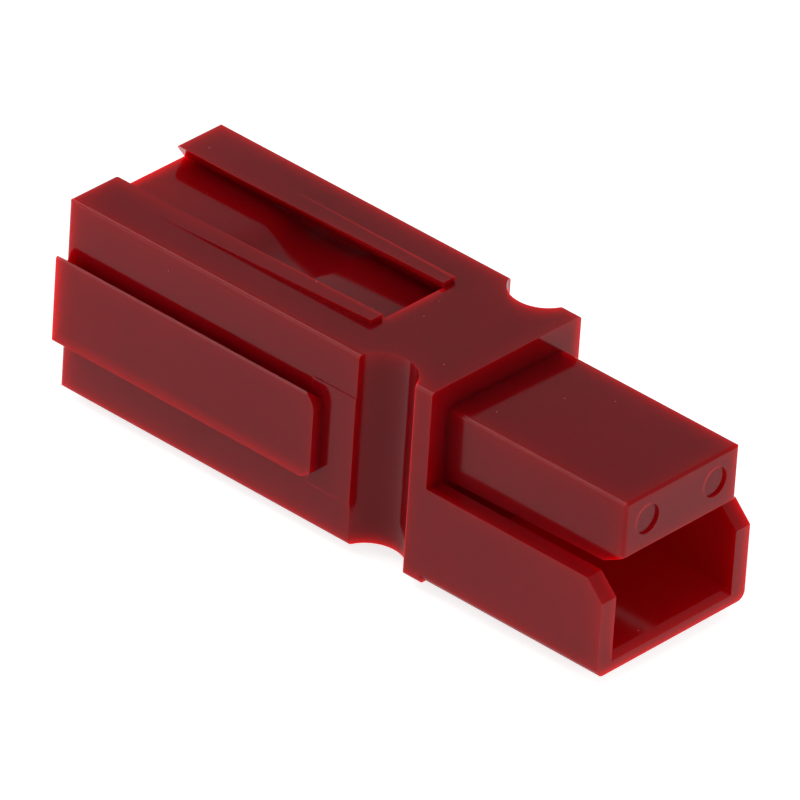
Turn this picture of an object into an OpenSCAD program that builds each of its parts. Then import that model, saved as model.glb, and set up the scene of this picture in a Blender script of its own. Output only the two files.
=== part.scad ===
// Genderless single-pole power connector: a square stackable housing with a wire
// contact and a leaf spring inside. Two of them mate with each other when one is
// turned half a turn about the crosswise axis.
// Frame: the origin is the middle of the wire entry in the rear face, +X points to
// the mating end, +Z is up and z = 0 is the parting plane between hood and tongue.

/* [Body] */
// Width of the body across its left and right faces
body_w = 15.8; // [15.2:0.1:20]
// Height of the body between its bottom and top faces
body_h = 15.9; // [15.4:0.1:20]
// Length of the body from the wire end to the front of the flange
body_len = 35.4; // [34.6:0.2:50]
// Rounding of the long edges
edge_r = 0.35; // [0.1:0.05:0.8]
// Rounding of the edges round the wire end
end_r = 0.45; // [0.1:0.05:0.8]

/* [Pin recesses] */
// Radius of the round recess down each side
recess_r = 2.74; // [2.4:0.02:3]
// Depth of the recess below the side face
recess_depth = 2.05; // [1.2:0.05:2.3]
// Thickness of the flange in front of the recesses
flange_t = 1.6; // [1:0.1:2.2]
// How far the flange and the hood stand back from each side face
front_inset = 0.115; // [0:0.005:0.4]

/* [Dovetail grooves] */
// Width of the groove between its lips
groove_w = 6.32; // [5:0.02:7]
// Depth of the groove below its face
groove_depth = 1.42; // [1.1:0.02:1.6]
// How far the groove widens under each lip
groove_flare = 1.04; // [0.4:0.02:1.3]
// Length of the groove from the wire end
groove_len = 26.3; // [24:0.1:27]
// Width of the wedge rib beside the groove at its low rear end
rib_w_rear = 1.8; // [0.8:0.05:2.2]
// Width of the wedge rib at its tall front end
rib_w_front = 1.23; // [0.6:0.01:2]
// Height of the wedge rib at its front end
rib_h = 0.41; // [0.1:0.01:0.6]
// Where the wedge rib starts, from the wire end
rib_start = 5.9; // [2:0.1:14]

/* [Relief in the groove floor] */
// Depth of the relief below the groove floor
relief_depth = 0.6; // [0.2:0.02:0.8]
// Lowest line of the relief, from the wire end
relief_low = 13.5; // [8:0.1:17]
// Length of the relief behind its lowest line
relief_back = 4.5; // [3:0.1:6]
// Length of the relief in front of its lowest line
relief_front = 4.8; // [3:0.1:6]

/* [Dovetail rails] */
// How far a rail stands proud of its face
rail_h = 1; // [0.6:0.02:1.05]
// Running clearance of a rail in a groove, on each side
slide_gap = 0.2; // [0.05:0.01:0.4]
// How much shorter a rail is than the groove that it runs in
rail_end_gap = 0.9; // [0.2:0.1:3]
// How far the side rail and groove sit below the middle of the body
rail_drop = 0.15; // [0:0.01:0.4]
// Rounding of the outer edges of a rail
rail_edge_r = 0.25; // [0.05:0.05:0.4]
// Rounding of the rail's upper front corner
rail_nose_r = 1.4; // [0.5:0.1:2.4]
// Length of the cut at the rail's lower front corner
rail_cut_len = 1.2; // [0.4:0.1:2]
// Height of the cut at the rail's lower front corner
rail_cut_h = 0.85; // [0.3:0.05:1.5]
// Thickness of the raised land between a rail and the recess
land_t = 0.06; // [0.02:0.01:0.2]
// How far the raised land reaches past the rail's edges
land_reach = 0.75; // [0.2:0.05:1.5]
// Gap between the rail's front end and the raised land's rear edge
land_back = 1.1; // [0:0.1:2]

/* [Hood] */
// Length of the hood and the tongue in front of the flange
front_len = 16.9; // [14:0.1:26]
// Thickness of the hood's side walls
hood_wall = 1.48; // [1:0.02:1.8]
// Thickness of the hood's floor
hood_floor = 1.29; // [1:0.01:1.6]
// How far the hood's bottom stands above the body's bottom
hood_inset = 0.2; // [0:0.05:0.4]
// Size of the cut at the top front corner of each side wall
hood_corner = 1.53; // [0.5:0.01:3]
// Rounding of the hood's lower long edges
hood_edge_r = 0.7; // [0.2:0.05:1]
// Length of the lead-in at the floor's front edge
floor_lead_len = 0.5; // [0.2:0.05:1]
// Height of the lead-in at the floor's front edge
floor_lead_h = 0.45; // [0.2:0.05:0.7]

/* [Tongue] */
// Clearance of the mate's tongue above the hood's floor
mate_gap = 0.5; // [0.1:0.05:0.8]
// Clearance of the mate's tongue from each side wall
mate_side_gap = 0.37; // [0.1:0.01:0.6]
// Thickness of the tongue's roof
tongue_roof = 1.7; // [1.2:0.05:2]
// Thickness of the tongue's front wall
tongue_nose = 2.2; // [1.8:0.05:3]
// Height of the tongue's lower edges above the parting plane, at the flange
skirt_lift = 0.14; // [0.05:0.01:0.4]
// How much those edges rise from the flange to the tip
skirt_rise = 0.4; // [0:0.02:0.8]
// Length of the lead-in under the tongue's tip
tongue_lead_len = 1.75; // [0.5:0.05:2]
// Height of the lead-in under the tongue's tip
tongue_lead_h = 0.92; // [0.3:0.02:1.4]
// Rounding of the tongue's outer edges
tongue_r = 0.3; // [0.1:0.05:0.6]
// Radius of the two ejector marks on the tongue's front
mark_r = 1.18; // [0.5:0.02:1.5]
// Depth of the ejector marks
mark_depth = 0.2; // [0.05:0.01:0.4]
// Distance between the centres of the ejector marks
mark_pitch = 7.1; // [5:0.1:8]
// How far the centres of the marks lie below the tongue's top
mark_drop = 2.2; // [1.8:0.05:3]

/* [Wire way] */
// Diameter of the wire entry, which takes the insulated wire
entry_d = 10.6; // [9.6:0.1:11]
// Length of the wire entry
entry_len = 9.3; // [6:0.1:11]
// Clearance round the contact's barrel
barrel_gap = 0.5; // [0.3:0.05:0.7]
// Clearance beside and below the blade and in front of the contact's taper
blade_gap = 0.3; // [0.1:0.02:0.4]

/* [Contact] */
// Distance from the end of the wire entry to the contact's barrel
barrel_setback = 0.7; // [0.2:0.1:2]
// Outer diameter of the wire barrel
barrel_d = 7.6; // [6.8:0.1:8]
// Bore of the wire barrel, which takes the bare wire
barrel_bore = 5.6; // [4:0.1:6]
// Length of the wire barrel
barrel_len = 13.5; // [10:0.1:15]
// Thickness of metal left at the end of the barrel's bore
barrel_end = 0.5; // [0.3:0.1:1.5]
// Length of the taper from the barrel to the blade
taper_len = 5; // [3:0.1:5.5]
// Width of the blade
blade_w = 7.2; // [5.5:0.1:7.4]
// Thickness of the blade
blade_t = 1.5; // [1:0.05:1.6]
// Height of the raised hook at the blade's tip, above the blade
hook_h = 0.8; // [0.4:0.05:0.9]
// Length of the hook along the blade
hook_len = 1.7; // [1:0.1:2.5]
// Gap between the hook and the inside of the tongue's nose
tip_gap = 0.3; // [0.1:0.05:1]
// Rounding of the blade's front corners
tip_r = 1; // [0.3:0.1:2]

/* [Retention spring] */
// Thickness of the leaf
spring_t = 0.5; // [0.3:0.05:0.6]
// Width of the leaf
spring_w = 6.4; // [4:0.1:7]
// Length of the leaf's flat stretch against the roof
spring_flat = 5; // [3:0.1:8]
// Height of the bent-up tab at the leaf's rear end
spring_tab = 0.7; // [0.4:0.05:0.9]
// Clearance of the leaf from the roof, its notch and the blade
spring_gap = 0.05; // [0.02:0.01:0.15]
// Distance from the front of the barrel cavity to the leaf's tab
spring_setback = 1.1; // [0.6:0.1:3]
// Length of the leaf's foot, which lies along the blade behind the hook
spring_foot = 1.2; // [0.6:0.1:3]

/* [Hidden] */
$fn = 64;
over = 1; // how far a cutter runs past the face that it opens

side_y = body_w / 2;
top_z = body_h / 2;
tip_x = body_len + front_len;
front_y = side_y - front_inset;

// Pin recess: a circle whose chord lies in the side face
recess_half = sqrt(pow(recess_r, 2) - pow(recess_r - recess_depth, 2));
recess_x = body_len - flange_t - recess_half;
recess_y = side_y - recess_depth + recess_r;

// Dovetails: the rail has the groove's slope, less the running clearance
slope = groove_flare / groove_depth;
floor_half = groove_w / 2 + groove_flare;
rail_neck = groove_w / 2 - slide_gap;
rail_head = rail_neck + rail_h * slope;
rail_len = groove_len - rail_end_gap;

// Relief: one arc in front of its lowest line, two equal arcs behind it
front_arc = (pow(relief_front, 2) + pow(relief_depth, 2)) / (2 * relief_depth);
back_arc = (pow(relief_back, 2) + pow(relief_depth, 2)) / (4 * relief_depth);

// Hood and tongue: the mate's tongue fills this hood and the other way round
hood_bottom = -top_z + hood_inset;
floor_z = hood_bottom + hood_floor;
hood_y = front_y - hood_wall;
tongue_y = hood_y - mate_side_gap;
tongue_top = -floor_z - mate_gap;
roof_z = tongue_top - tongue_roof;

// Wire way, contact and spring
barrel_x = entry_len + barrel_setback;
taper_x = barrel_x + barrel_len;
blade_x = taper_x + taper_len;
cavity_end = blade_x + blade_gap;
cavity_r = barrel_d / 2 + barrel_gap;
way_y = blade_w / 2 + blade_gap;
nose_x = tip_x - tongue_nose;
blade_end = nose_x - tip_gap;
tab_x = cavity_end + spring_setback;
leaf_z = roof_z - spring_gap - spring_t / 2;
foot_z = blade_t + spring_gap + spring_t / 2;
foot_end = blade_end - hook_len - spring_gap;

// Rectangle with round corners, from its low to its high corner
module round_rect(low, high, r) {
    translate([low[0] + r, low[1]]) square([high[0] - low[0] - 2 * r, high[1] - low[1]]);
    translate([low[0], low[1] + r]) square([high[0] - low[0], high[1] - low[1] - 2 * r]);
    for (x = [low[0] + r, high[0] - r], y = [low[1] + r, high[1] - r]) translate([x, y]) circle(r);
}

// Extrudes a profile drawn in Y and Z along +X, from x0 to x1
module along_x(x0, x1) {
    translate([x0, 0, 0]) rotate([90, 0, 90]) linear_extrude(x1 - x0) children();
}

// Extrudes a profile drawn in X and Z evenly across Y
module across_y(width) {
    rotate([90, 0, 0]) linear_extrude(width, center = true) children();
}

// Extrudes a profile drawn in X and Y evenly up and down
module up_z(height) {
    linear_extrude(height, center = true) children();
}

// Turns what is modelled on the top face to the left face or the right face
module on_side(turn) {
    translate([0, 0, -rail_drop]) rotate([turn, 0, 0]) children();
}

// Dovetail outline in Y and Z: half widths at its two heights
module dovetail(low_z, low_half, high_z, high_half) {
    polygon([[-low_half, low_z], [low_half, low_z], [high_half, high_z], [-high_half, high_z]]);
}

// Side outline of the relief in the groove floor, in X and Z
module relief_outline(floor) {
    low_z = floor - relief_depth;
    intersection() {
        translate([relief_low, low_z + front_arc]) circle(front_arc, $fn = 360);
        translate([relief_low, low_z]) square([relief_front + over, relief_depth + over]);
    }
    intersection() {
        translate([relief_low, low_z + back_arc]) circle(back_arc, $fn = 360);
        translate([relief_low - relief_back / 2, low_z]) square([relief_back / 2, relief_depth + over]);
    }
    difference() {
        translate([relief_low - relief_back, floor - relief_depth / 2])
            square([relief_back / 2, relief_depth / 2 + over]);
        translate([relief_low - relief_back, floor - back_arc]) circle(back_arc, $fn = 360);
    }
}

// Cutter for one groove in the face at height face, open at the wire end
module groove(face) {
    floor = face - groove_depth;
    lip = groove_w / 2;
    along_x(-over, groove_len) {
        dovetail(floor, floor_half, face, lip);
        translate([-lip, face]) square([groove_w, over]);
    }
    intersection() {
        across_y(2 * floor_half) relief_outline(floor);
        translate([0, 0, floor - over]) up_z(2 * over + relief_depth)
            translate([0, -floor_half]) square([groove_len, 2 * floor_half]);
    }
}

// The two wedge ribs on the lands beside a groove
module ribs(face) {
    lip = groove_w / 2;
    intersection() {
        across_y(body_w) polygon([
            [rib_start, face], [groove_len, face + rib_h],
            [groove_len, face - edge_r], [rib_start, face - edge_r]
        ]);
        for (side = [0, 1]) mirror([0, side, 0]) translate([0, 0, face]) up_z(2 * over)
            polygon([
                [rib_start, lip], [groove_len, lip],
                [groove_len, lip + rib_w_front], [rib_start, lip + rib_w_rear]
            ]);
    }
}

// One rail on the face at height face, with the land in front of it
module rail(face) {
    intersection() {
        along_x(0, rail_len) difference() {
            dovetail(face - edge_r, rail_neck - edge_r * slope, face + rail_h, rail_head);
            for (side = [-1, 1])
                translate([side * rail_head, face + rail_h]) rotate(45)
                    square(rail_edge_r * sqrt(2), center = true);
        }
        up_z(3 * body_h) rail_plan();
    }
    translate([0, 0, face]) up_z(2 * land_t)
        translate([rail_len - land_back, -rail_head - land_reach])
            square([recess_x - rail_len + land_back, 2 * (rail_head + land_reach)]);
}

// Plan of a rail: one front corner is round and the other is cut
module rail_plan() {
    difference() {
        translate([0, -rail_head]) square([rail_len, 2 * rail_head]);
        translate([rail_len - rail_nose_r, rail_head - rail_nose_r]) difference() {
            square(rail_nose_r);
            circle(rail_nose_r);
        }
        polygon([
            [rail_len, rail_cut_h - rail_head], [rail_len, -rail_head],
            [rail_len - rail_cut_len, -rail_head]
        ]);
    }
}

// Square body with its grooves, ribs and rails, and the flange in front of it
module body() {
    difference() {
        union() {
            intersection() {
                along_x(0, recess_x) round_rect([-side_y, -top_z], [side_y, top_z], edge_r);
                up_z(2 * body_h) round_rect([0, -side_y], [body_len, side_y], end_r);
                across_y(2 * body_w) round_rect([0, -top_z], [body_len, top_z], end_r);
            }
            along_x(recess_x, body_len) round_rect([-front_y, -top_z], [front_y, top_z], edge_r);
            ribs(top_z);
            on_side(-90) ribs(side_y);
            on_side(90) rail(side_y);
            rotate([180, 0, 0]) rail(top_z);
        }
        for (side = [-1, 1])
            translate([recess_x, side * recess_y, 0])
                cylinder(h = 2 * body_h, r = recess_r, center = true);
        groove(top_z);
        on_side(-90) groove(side_y);
    }
}

// Side outline of the hood's walls, in X and Z
module hood_side() {
    polygon([
        [recess_x, hood_bottom], [tip_x, hood_bottom], [tip_x, -hood_corner],
        [tip_x - hood_corner, 0], [recess_x, 0]
    ]);
}

// Open hood below the parting plane
module hood() {
    difference() {
        intersection() {
            across_y(body_w) hood_side();
            along_x(body_len - over, tip_x) round_rect([-front_y, hood_bottom], [front_y, top_z], hood_edge_r);
        }
        across_y(2 * hood_y) polygon([
            [body_len, floor_z], [tip_x - floor_lead_len, floor_z], [tip_x, floor_z - floor_lead_h],
            [tip_x + over, floor_z - floor_lead_h], [tip_x + over, over], [body_len, over]
        ]);
    }
}

// Side outline of the tongue, in X and Z
module tongue_side() {
    slant = skirt_rise / (front_len - tongue_lead_len);
    lead_z = skirt_lift + skirt_rise;
    polygon([
        [body_len - over, skirt_lift - over * slant], [tip_x - tongue_lead_len, lead_z],
        [tip_x, lead_z + tongue_lead_h], [tip_x, top_z], [body_len - over, top_z]
    ]);
}

// Tongue above the parting plane, before the blade's way is cut in it
module tongue() {
    difference() {
        intersection() {
            across_y(body_w) tongue_side();
            along_x(body_len - over, tip_x) round_rect([-tongue_y, -top_z], [tongue_y, tongue_top], tongue_r);
            up_z(2 * body_h) round_rect([0, -tongue_y], [tip_x, tongue_y], tongue_r);
            across_y(body_w) round_rect([0, -top_z], [tip_x, tongue_top], tongue_r);
        }
        for (side = [-1, 1]) translate([tip_x - mark_depth, side * mark_pitch / 2, tongue_top - mark_drop])
            rotate([0, 90, 0]) cylinder(h = mark_depth + over, r = mark_r);
    }
}

// Everything that the wire, the contact and the spring lie in
module wire_way() {
    translate([-over, 0, 0]) rotate([0, 90, 0]) cylinder(h = entry_len + over, d = entry_d);
    rotate([0, 90, 0]) cylinder(h = cavity_end, r = cavity_r);
    along_x(cavity_end - over, body_len) translate([-way_y, -blade_gap]) square([2 * way_y, roof_z + blade_gap]);
    along_x(body_len - over, nose_x) translate([-way_y, -blade_gap]) square([2 * way_y, roof_z + blade_gap]);
    translate([tab_x - spring_gap, -way_y, 0])
        cube([spring_t + 2 * spring_gap, 2 * way_y, roof_z + spring_tab + spring_gap]);
}

module housing() {
    color([0.62, 0.09, 0.1]) difference() {
        union() {
            body();
            hood();
            tongue();
        }
        wire_way();
    }
}

// Blade and hook seen from the side, in X and Z
module blade_side() {
    translate([taper_x, 0]) square([blade_end - taper_x, blade_t]);
    translate([blade_end - hook_len, 0]) square([hook_len, blade_t + hook_h - tongue_r]);
    intersection() {
        translate([blade_end - hook_len / 2, blade_t + hook_h - hook_len / 2]) circle(hook_len / 2);
        translate([blade_end - hook_len, 0]) square([hook_len, blade_t + hook_h]);
    }
}

module contact() {
    color([0.8, 0.8, 0.82]) difference() {
        union() {
            translate([barrel_x, 0, 0]) rotate([0, 90, 0]) cylinder(h = barrel_len, d = barrel_d);
            hull() {
                translate([taper_x - barrel_end, 0, 0]) rotate([0, 90, 0])
                    cylinder(h = barrel_end, d = barrel_d, $fn = 32);
                translate([blade_x - barrel_end, -blade_w / 2, 0]) cube([barrel_end, blade_w, blade_t]);
            }
            intersection() {
                across_y(blade_w) blade_side();
                up_z(body_h) round_rect([taper_x - blade_w, -blade_w / 2], [blade_end, blade_w / 2], tip_r);
            }
        }
        translate([barrel_x - over, 0, 0]) rotate([0, 90, 0])
            cylinder(h = barrel_len - barrel_end + over, d = barrel_bore);
    }
}

// Strip of even thickness along a line of points
module strip(points, thickness) {
    for (i = [1:len(points) - 1]) {
        run = points[i] - points[i - 1];
        translate(points[i - 1]) rotate(atan2(run[1], run[0]))
            translate([0, -thickness / 2]) square([norm(run), thickness]);
    }
    for (i = [1:len(points) - 2]) translate(points[i]) circle(thickness / 2);
}

module retention_spring() {
    color([0.7, 0.7, 0.68]) across_y(spring_w) strip([
        [tab_x + spring_t / 2, roof_z + spring_tab - spring_gap], [tab_x + spring_t / 2, leaf_z],
        [tab_x + spring_flat, leaf_z], [foot_end - spring_foot, foot_z], [foot_end, foot_z]
    ], spring_t);
}

housing();
contact();
retention_spring();
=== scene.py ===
"""Looks of the genderless power connector: red moulded housing, silver-plated contact and steel leaf."""
import math

import bpy
from mathutils import Matrix, Vector


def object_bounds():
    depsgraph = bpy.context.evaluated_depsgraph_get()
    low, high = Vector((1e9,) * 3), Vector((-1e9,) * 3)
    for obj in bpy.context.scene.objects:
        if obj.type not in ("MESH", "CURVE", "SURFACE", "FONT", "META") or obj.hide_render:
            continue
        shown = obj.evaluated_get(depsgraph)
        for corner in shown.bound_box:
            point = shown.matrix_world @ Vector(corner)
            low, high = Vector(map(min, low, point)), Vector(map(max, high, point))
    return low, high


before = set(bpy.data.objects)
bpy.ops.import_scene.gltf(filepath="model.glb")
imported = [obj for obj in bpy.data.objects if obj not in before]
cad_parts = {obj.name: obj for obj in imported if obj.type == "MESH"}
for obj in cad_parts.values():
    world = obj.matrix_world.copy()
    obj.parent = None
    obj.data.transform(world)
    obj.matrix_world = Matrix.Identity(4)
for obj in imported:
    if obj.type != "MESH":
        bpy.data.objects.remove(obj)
cad_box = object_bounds()
low, high = cad_box
centre = (low + high) / 2
MM = 0.001
WHITE = (1, 1, 1, 1)

# Camera: where it stands, as azimuth from -Y towards +X and height above the horizon
CAMERA_AZIMUTH = math.radians(40.864)
CAMERA_ELEVATION = math.radians(32.054)
CAMERA_ROLL = math.radians(-3.850)
CAMERA_DISTANCE = 984.76 * MM
CAMERA_LENS = 624.0
CAMERA_NEAR = 0.01
CAMERA_FAR = 20
CAMERA_AIM = centre + Vector((0.24, -0.50, 0.54)) * MM

# Light: each lamp's name, place from the middle of the part, size and watts
WORLD_LEVEL = 0.45
LAMPS = (
    ("overhead", (0, 0.05, 0.6), (0.7, 0.7), 0.75),
    ("left_key", (-0.40, -0.26, 0.55), (0.42, 0.42), 1.5),
    ("left_fill", (-0.2, -0.6, 0.12), (0.7, 0.2), 1.4),
    ("front_fill", (0.65, -0.1, 0.2), (0.5, 0.3), 1.9),
)

# Floor: a pale table that glows a little, and a little more where the camera sees it
FLOOR_REACH = 3.0
FLOOR_COLOUR = (0.6, 0.6, 0.6, 1)
FLOOR_GLOW = 0.5
FLOOR_SEEN = 0.25

# Red plastic: colour at the rear, in the middle stretch and at the front, which paints light along the
# part: the lighter rear is a painted glow of light through the thin rear walls, and the lighter front is
# painted light too
REAR_RED_PAINTED_GLOW = (0.165, 0.0008, 0.0028)
BODY_RED = (0.14, 0.0008, 0.0025)
FRONT_RED_PAINTED_LIGHT = (0.15, 0.0008, 0.0025)
BODY_START = 0.25
BODY_END = 0.62
CLOUD_SCALE = 110
CLOUD_DEPTH = 0.06
IOR = 1.58
SPECULAR = 0.145
ROUGH = 0.11
ROUGH_SCALE = 240

# Light scatters through the plastic, and red goes furthest
SUBSURFACE = 1.0
SUBSURFACE_SCALE = 8.0 * MM
SUBSURFACE_RADIUS = (1.0, 0.05, 0.05)

# Dust: one speck in each cell whose random number passes the limit
DUST_COLOUR = (0.3, 0.09, 0.09)
DUST_STRENGTH = 0.5
DUST_CELLS = 1500
DUST_LIMIT = 0.985
DUST_CORE = 0.05
DUST_RIM = 0.14
DUST_ROUGH = 0.3
DUST_HEIGHT = 1.2

# Moulded surface: fine orange peel and a slow wave, as shares of one bump
PEEL_SCALE = 900
PEEL_SHARE = 0.25
WAVE_SCALE = 120
WAVE_SHARE = 0.75
PLASTIC_BUMP = 0.12
PLASTIC_RELIEF = 0.02 * MM

# Metals: tarnish that darkens each channel, and drawn grain
TARNISH_SCALE = 160
TARNISH_STRENGTH = 0.5
TARNISH_TINT = (0.82, 0.76, 0.66)
METAL_BUMP = 0.25
METAL_RELIEF = 0.01 * MM

# Edges: what counts as one flat face, and what counts as an edge to round
WELD_REACH = 0.001 * MM
FLAT_ANGLE = math.radians(0.3)
EDGE_ANGLE = math.radians(20)


def make_camera():
    """Long lens at the viewing angle, rolled a little about its own axis."""
    data = bpy.data.cameras.new("camera")
    data.lens = CAMERA_LENS
    data.clip_start = CAMERA_NEAR
    data.clip_end = CAMERA_FAR
    camera = bpy.data.objects.new("camera", data)
    bpy.context.scene.collection.objects.link(camera)
    flat = math.cos(CAMERA_ELEVATION)
    back = Vector((
        math.sin(CAMERA_AZIMUTH) * flat,
        -math.cos(CAMERA_AZIMUTH) * flat,
        math.sin(CAMERA_ELEVATION),
    ))
    turn = (-back).to_track_quat("-Z", "Y").to_matrix() @ Matrix.Rotation(-CAMERA_ROLL, 3, "Z")
    place = CAMERA_AIM + back * CAMERA_DISTANCE
    camera.matrix_world = Matrix.Translation(place) @ turn.to_4x4()
    bpy.context.scene.camera = camera


def rgba(colour):
    """A plain colour gets its alpha, and a socket stays as it is."""
    return (*colour, 1) if isinstance(colour, tuple) else colour


class Nodes:
    """Short way to add and join the nodes of one material or world."""

    def __init__(self, owner):
        owner.use_nodes = True
        self.tree = owner.node_tree
        self.tree.nodes.clear()

    def feed(self, socket, value):
        """Links a value that comes from another node, and sets any other."""
        if isinstance(value, bpy.types.NodeSocket):
            self.tree.links.new(value, socket)
        else:
            socket.default_value = value

    def add(self, kind, inputs=None, **settings):
        node = self.tree.nodes.new(kind)
        for name, value in settings.items():
            setattr(node, name, value)
        for name, value in (inputs or {}).items():
            self.feed(node.inputs[name], value)
        return node

    def ramp(self, factor, stops):
        node = self.add("ShaderNodeValToRGB", {"Fac": factor})
        points = node.color_ramp.elements
        while len(points) < len(stops):
            points.new(0.5)
        for point, (place, colour) in zip(points, stops):
            point.position = place
            point.color = rgba(colour)
        return node.outputs["Color"]

    def noise(self, where, scale, detail):
        node = self.add("ShaderNodeTexNoise", {"Vector": where, "Scale": scale, "Detail": detail})
        return node.outputs["Fac"]

    def calc(self, kind, a, b):
        return self.add("ShaderNodeMath", {0: a, 1: b}, operation=kind).outputs[0]

    def mix(self, factor, a, b, blend="MIX"):
        node = self.add("ShaderNodeMix", data_type="RGBA", blend_type=blend)
        self.feed(node.inputs[0], factor)
        self.feed(node.inputs[6], rgba(a))
        self.feed(node.inputs[7], rgba(b))
        return node.outputs[2]

    def span(self, value, start, end, low_to=0.0, high_to=1.0):
        node = self.add(
            "ShaderNodeMapRange",
            {"Value": value, "From Min": start, "From Max": end, "To Min": low_to, "To Max": high_to},
            clamp=True,
        )
        return node.outputs[0]

    def principled(self, inputs):
        shader = self.add("ShaderNodeBsdfPrincipled", inputs)
        self.add("ShaderNodeOutputMaterial", {"Surface": shader.outputs[0]})


def dust_specks(n, where):
    """Sparse pale specks, 1 in the middle of a speck and 0 beside it."""
    cells = n.add("ShaderNodeTexVoronoi", {"Vector": where, "Scale": DUST_CELLS, "Randomness": 1.0})
    lot = n.add("ShaderNodeSeparateColor", {0: cells.outputs["Color"]}).outputs[0]
    chosen = n.calc("GREATER_THAN", lot, DUST_LIMIT)
    size = n.span(cells.outputs["Distance"], DUST_CORE, DUST_RIM, 1.0, 0.0)
    return n.calc("MULTIPLY", chosen, size)


def red_colour(n, where, dust):
    """Red that is deeper and lighter at the thin rear walls, as a painted glow of light through them,
    and a little lighter at the front as painted light, with faint clouds and the dust on it.
    """
    along = n.add("ShaderNodeSeparateXYZ", {0: where}).outputs["X"]
    # Painted light: this ramp lightens the rear as a painted glow through the thin walls, and lightens
    # the front a little
    red_with_painted_light = n.ramp(
        n.span(along, low.x, high.x),
        [(0.0, REAR_RED_PAINTED_GLOW), (BODY_START, BODY_RED), (BODY_END, BODY_RED), (1.0, FRONT_RED_PAINTED_LIGHT)],
    )
    cloud = n.span(n.noise(where, CLOUD_SCALE, 4), 0.3, 0.7, 1 - CLOUD_DEPTH, 1 + CLOUD_DEPTH)
    shade = n.add("ShaderNodeCombineColor", {0: cloud, 1: cloud, 2: cloud}).outputs[0]
    red_with_painted_light = n.mix(1.0, red_with_painted_light, shade, "MULTIPLY")
    return n.mix(n.calc("MULTIPLY", dust, DUST_STRENGTH), red_with_painted_light, DUST_COLOUR)


def red_plastic():
    """Glossy red polycarbonate, a little translucent, with faint clouds, orange peel and dust."""
    material = bpy.data.materials.new("red_polycarbonate")
    n = Nodes(material)
    where = n.add("ShaderNodeTexCoord").outputs["Object"]
    dust = dust_specks(n, where)
    rough = n.span(n.noise(where, ROUGH_SCALE, 5), 0.3, 0.7, ROUGH - 0.03, ROUGH + 0.04)
    rough = n.calc("ADD", rough, n.calc("MULTIPLY", dust, DUST_ROUGH))
    peel = n.calc("MULTIPLY", n.noise(where, PEEL_SCALE, 2), PEEL_SHARE)
    wave = n.calc("MULTIPLY", n.noise(where, WAVE_SCALE, 2), WAVE_SHARE)
    height = n.calc("ADD", n.calc("ADD", peel, wave), n.calc("MULTIPLY", dust, DUST_HEIGHT))
    bump = n.add(
        "ShaderNodeBump", {"Height": height, "Strength": PLASTIC_BUMP, "Distance": PLASTIC_RELIEF}
    )
    n.principled({
        "Base Color": red_colour(n, where, dust),
        "Roughness": rough,
        "Normal": bump.outputs[0],
        "IOR": IOR,
        "Specular IOR Level": SPECULAR,
        "Subsurface Weight": SUBSURFACE,
        "Subsurface Radius": SUBSURFACE_RADIUS,
        "Subsurface Scale": SUBSURFACE_SCALE,
    })
    return material


def plated_metal(name, colour, rough, grain_scale, grain_stretch):
    """Metal with fine drawn grain and a slight tarnish."""
    material = bpy.data.materials.new(name)
    n = Nodes(material)
    where = n.add("ShaderNodeTexCoord").outputs["Object"]
    drawn = n.add("ShaderNodeMapping", {"Vector": where, "Scale": grain_stretch}).outputs[0]
    grain = n.noise(drawn, grain_scale, 4)
    tarnish = n.span(n.noise(where, TARNISH_SCALE, 4), 0.35, 0.7)
    dull = tuple(channel * share for channel, share in zip(colour, TARNISH_TINT))
    bump = n.add("ShaderNodeBump", {"Height": grain, "Strength": METAL_BUMP, "Distance": METAL_RELIEF})
    n.principled({
        "Base Color": n.mix(n.calc("MULTIPLY", tarnish, TARNISH_STRENGTH), colour, dull),
        "Metallic": 1.0,
        "Roughness": n.span(grain, 0.3, 0.7, rough - 0.06, rough + 0.08),
        "Normal": bump.outputs[0],
    })
    return material


def dress(node, material):
    """Gives a CAD node its one material."""
    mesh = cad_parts[node].data
    mesh.materials.clear()
    mesh.materials.append(material)


def soften(node, width, segments):
    """Rounds the sharp moulded edges of a CAD node by modifiers, which leave its own mesh as it is."""
    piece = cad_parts[node]
    mesh = piece.data
    for name in ("custom_normal", "sharp_edge", "sharp_face"):
        if name in mesh.attributes:
            mesh.attributes.remove(mesh.attributes[name])
    for face in mesh.polygons:
        face.use_smooth = True
    weld = piece.modifiers.new("weld", "WELD")
    weld.merge_threshold = WELD_REACH
    flat = piece.modifiers.new("flat_faces", "DECIMATE")
    flat.decimate_type = "DISSOLVE"
    flat.angle_limit = FLAT_ANGLE
    bevel = piece.modifiers.new("soft_edges", "BEVEL")
    bevel.width = width
    bevel.segments = segments
    bevel.limit_method = "ANGLE"
    bevel.angle_limit = EDGE_ANGLE
    bevel.harden_normals = True
    bevel.use_clamp_overlap = True
    bevel.miter_outer = "MITER_ARC"


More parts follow.
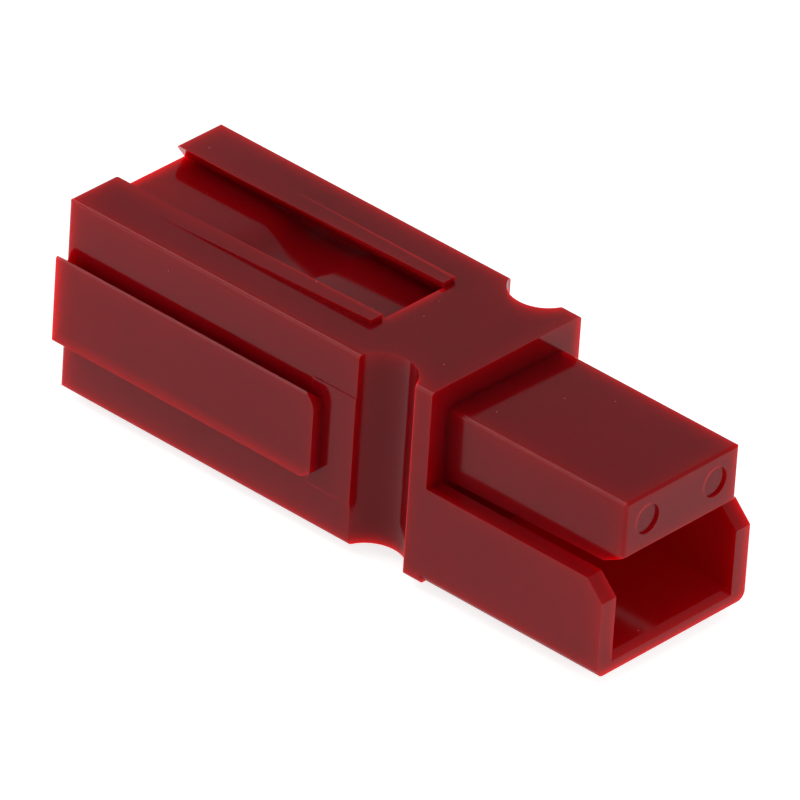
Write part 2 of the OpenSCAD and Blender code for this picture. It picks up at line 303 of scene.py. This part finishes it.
def make_lamp(name, place, size, watts):
    """Soft square lamp that faces the middle of the part."""
    data = bpy.data.lights.new(name, "AREA")
    data.shape = "RECTANGLE"
    data.size, data.size_y = size
    data.energy = watts
    light = bpy.data.objects.new(name, data)
    bpy.context.scene.collection.objects.link(light)
    light.location = centre + Vector(place)
    light.rotation_mode = "QUATERNION"
    light.rotation_quaternion = (centre - light.location).to_track_quat("-Z", "Y")


def make_light():
    """Even white world and the lamps."""
    world = bpy.data.worlds.new("studio")
    bpy.context.scene.world = world
    n = Nodes(world)
    background = n.add("ShaderNodeBackground", {"Color": WHITE, "Strength": WORLD_LEVEL})
    n.add("ShaderNodeOutputWorld", {"Surface": background.outputs[0]})
    for name, place, size, watts in LAMPS:
        make_lamp(name, place, size, watts)


def pale_floor():
    """Matt pale paint with a plain glow."""
    material = bpy.data.materials.new("pale_floor")
    n = Nodes(material)
    camera_ray = n.add("ShaderNodeLightPath").outputs["Is Camera Ray"]
    strength = n.calc("ADD", n.calc("MULTIPLY", camera_ray, FLOOR_SEEN), FLOOR_GLOW)
    glow = n.add("ShaderNodeEmission", {"Color": WHITE, "Strength": strength})
    paint = n.add("ShaderNodeBsdfDiffuse", {"Color": FLOOR_COLOUR})
    both = n.add("ShaderNodeAddShader", {0: glow.outputs[0], 1: paint.outputs[0]})
    n.add("ShaderNodeOutputMaterial", {"Surface": both.outputs[0]})
    return material


def make_floor():
    """Floor under the rail that the connector rests on."""
    mesh = bpy.data.meshes.new("floor")
    reach = FLOOR_REACH
    corners = [(-reach, -reach, 0), (reach, -reach, 0), (reach, reach, 0), (-reach, reach, 0)]
    mesh.from_pydata(corners, [], [(0, 1, 2, 3)])
    mesh.materials.append(pale_floor())
    floor = bpy.data.objects.new("floor", mesh)
    bpy.context.scene.collection.objects.link(floor)
    floor.location = (centre.x, centre.y, low.z)


make_camera()
make_light()
make_floor()
dress("housing", red_plastic())
dress("contact", plated_metal("silver_plate", (0.86, 0.85, 0.82), 0.26, 500, (0.15, 1, 1)))
dress("retention_spring", plated_metal("spring_steel", (0.6, 0.6, 0.58), 0.3, 700, (1, 0.1, 1)))
soften("housing", 0.28 * MM, 4)
soften("contact", 0.1 * MM, 3)
soften("retention_spring", 0.06 * MM, 2)
bpy.context.scene.view_settings.view_transform = "Standard"
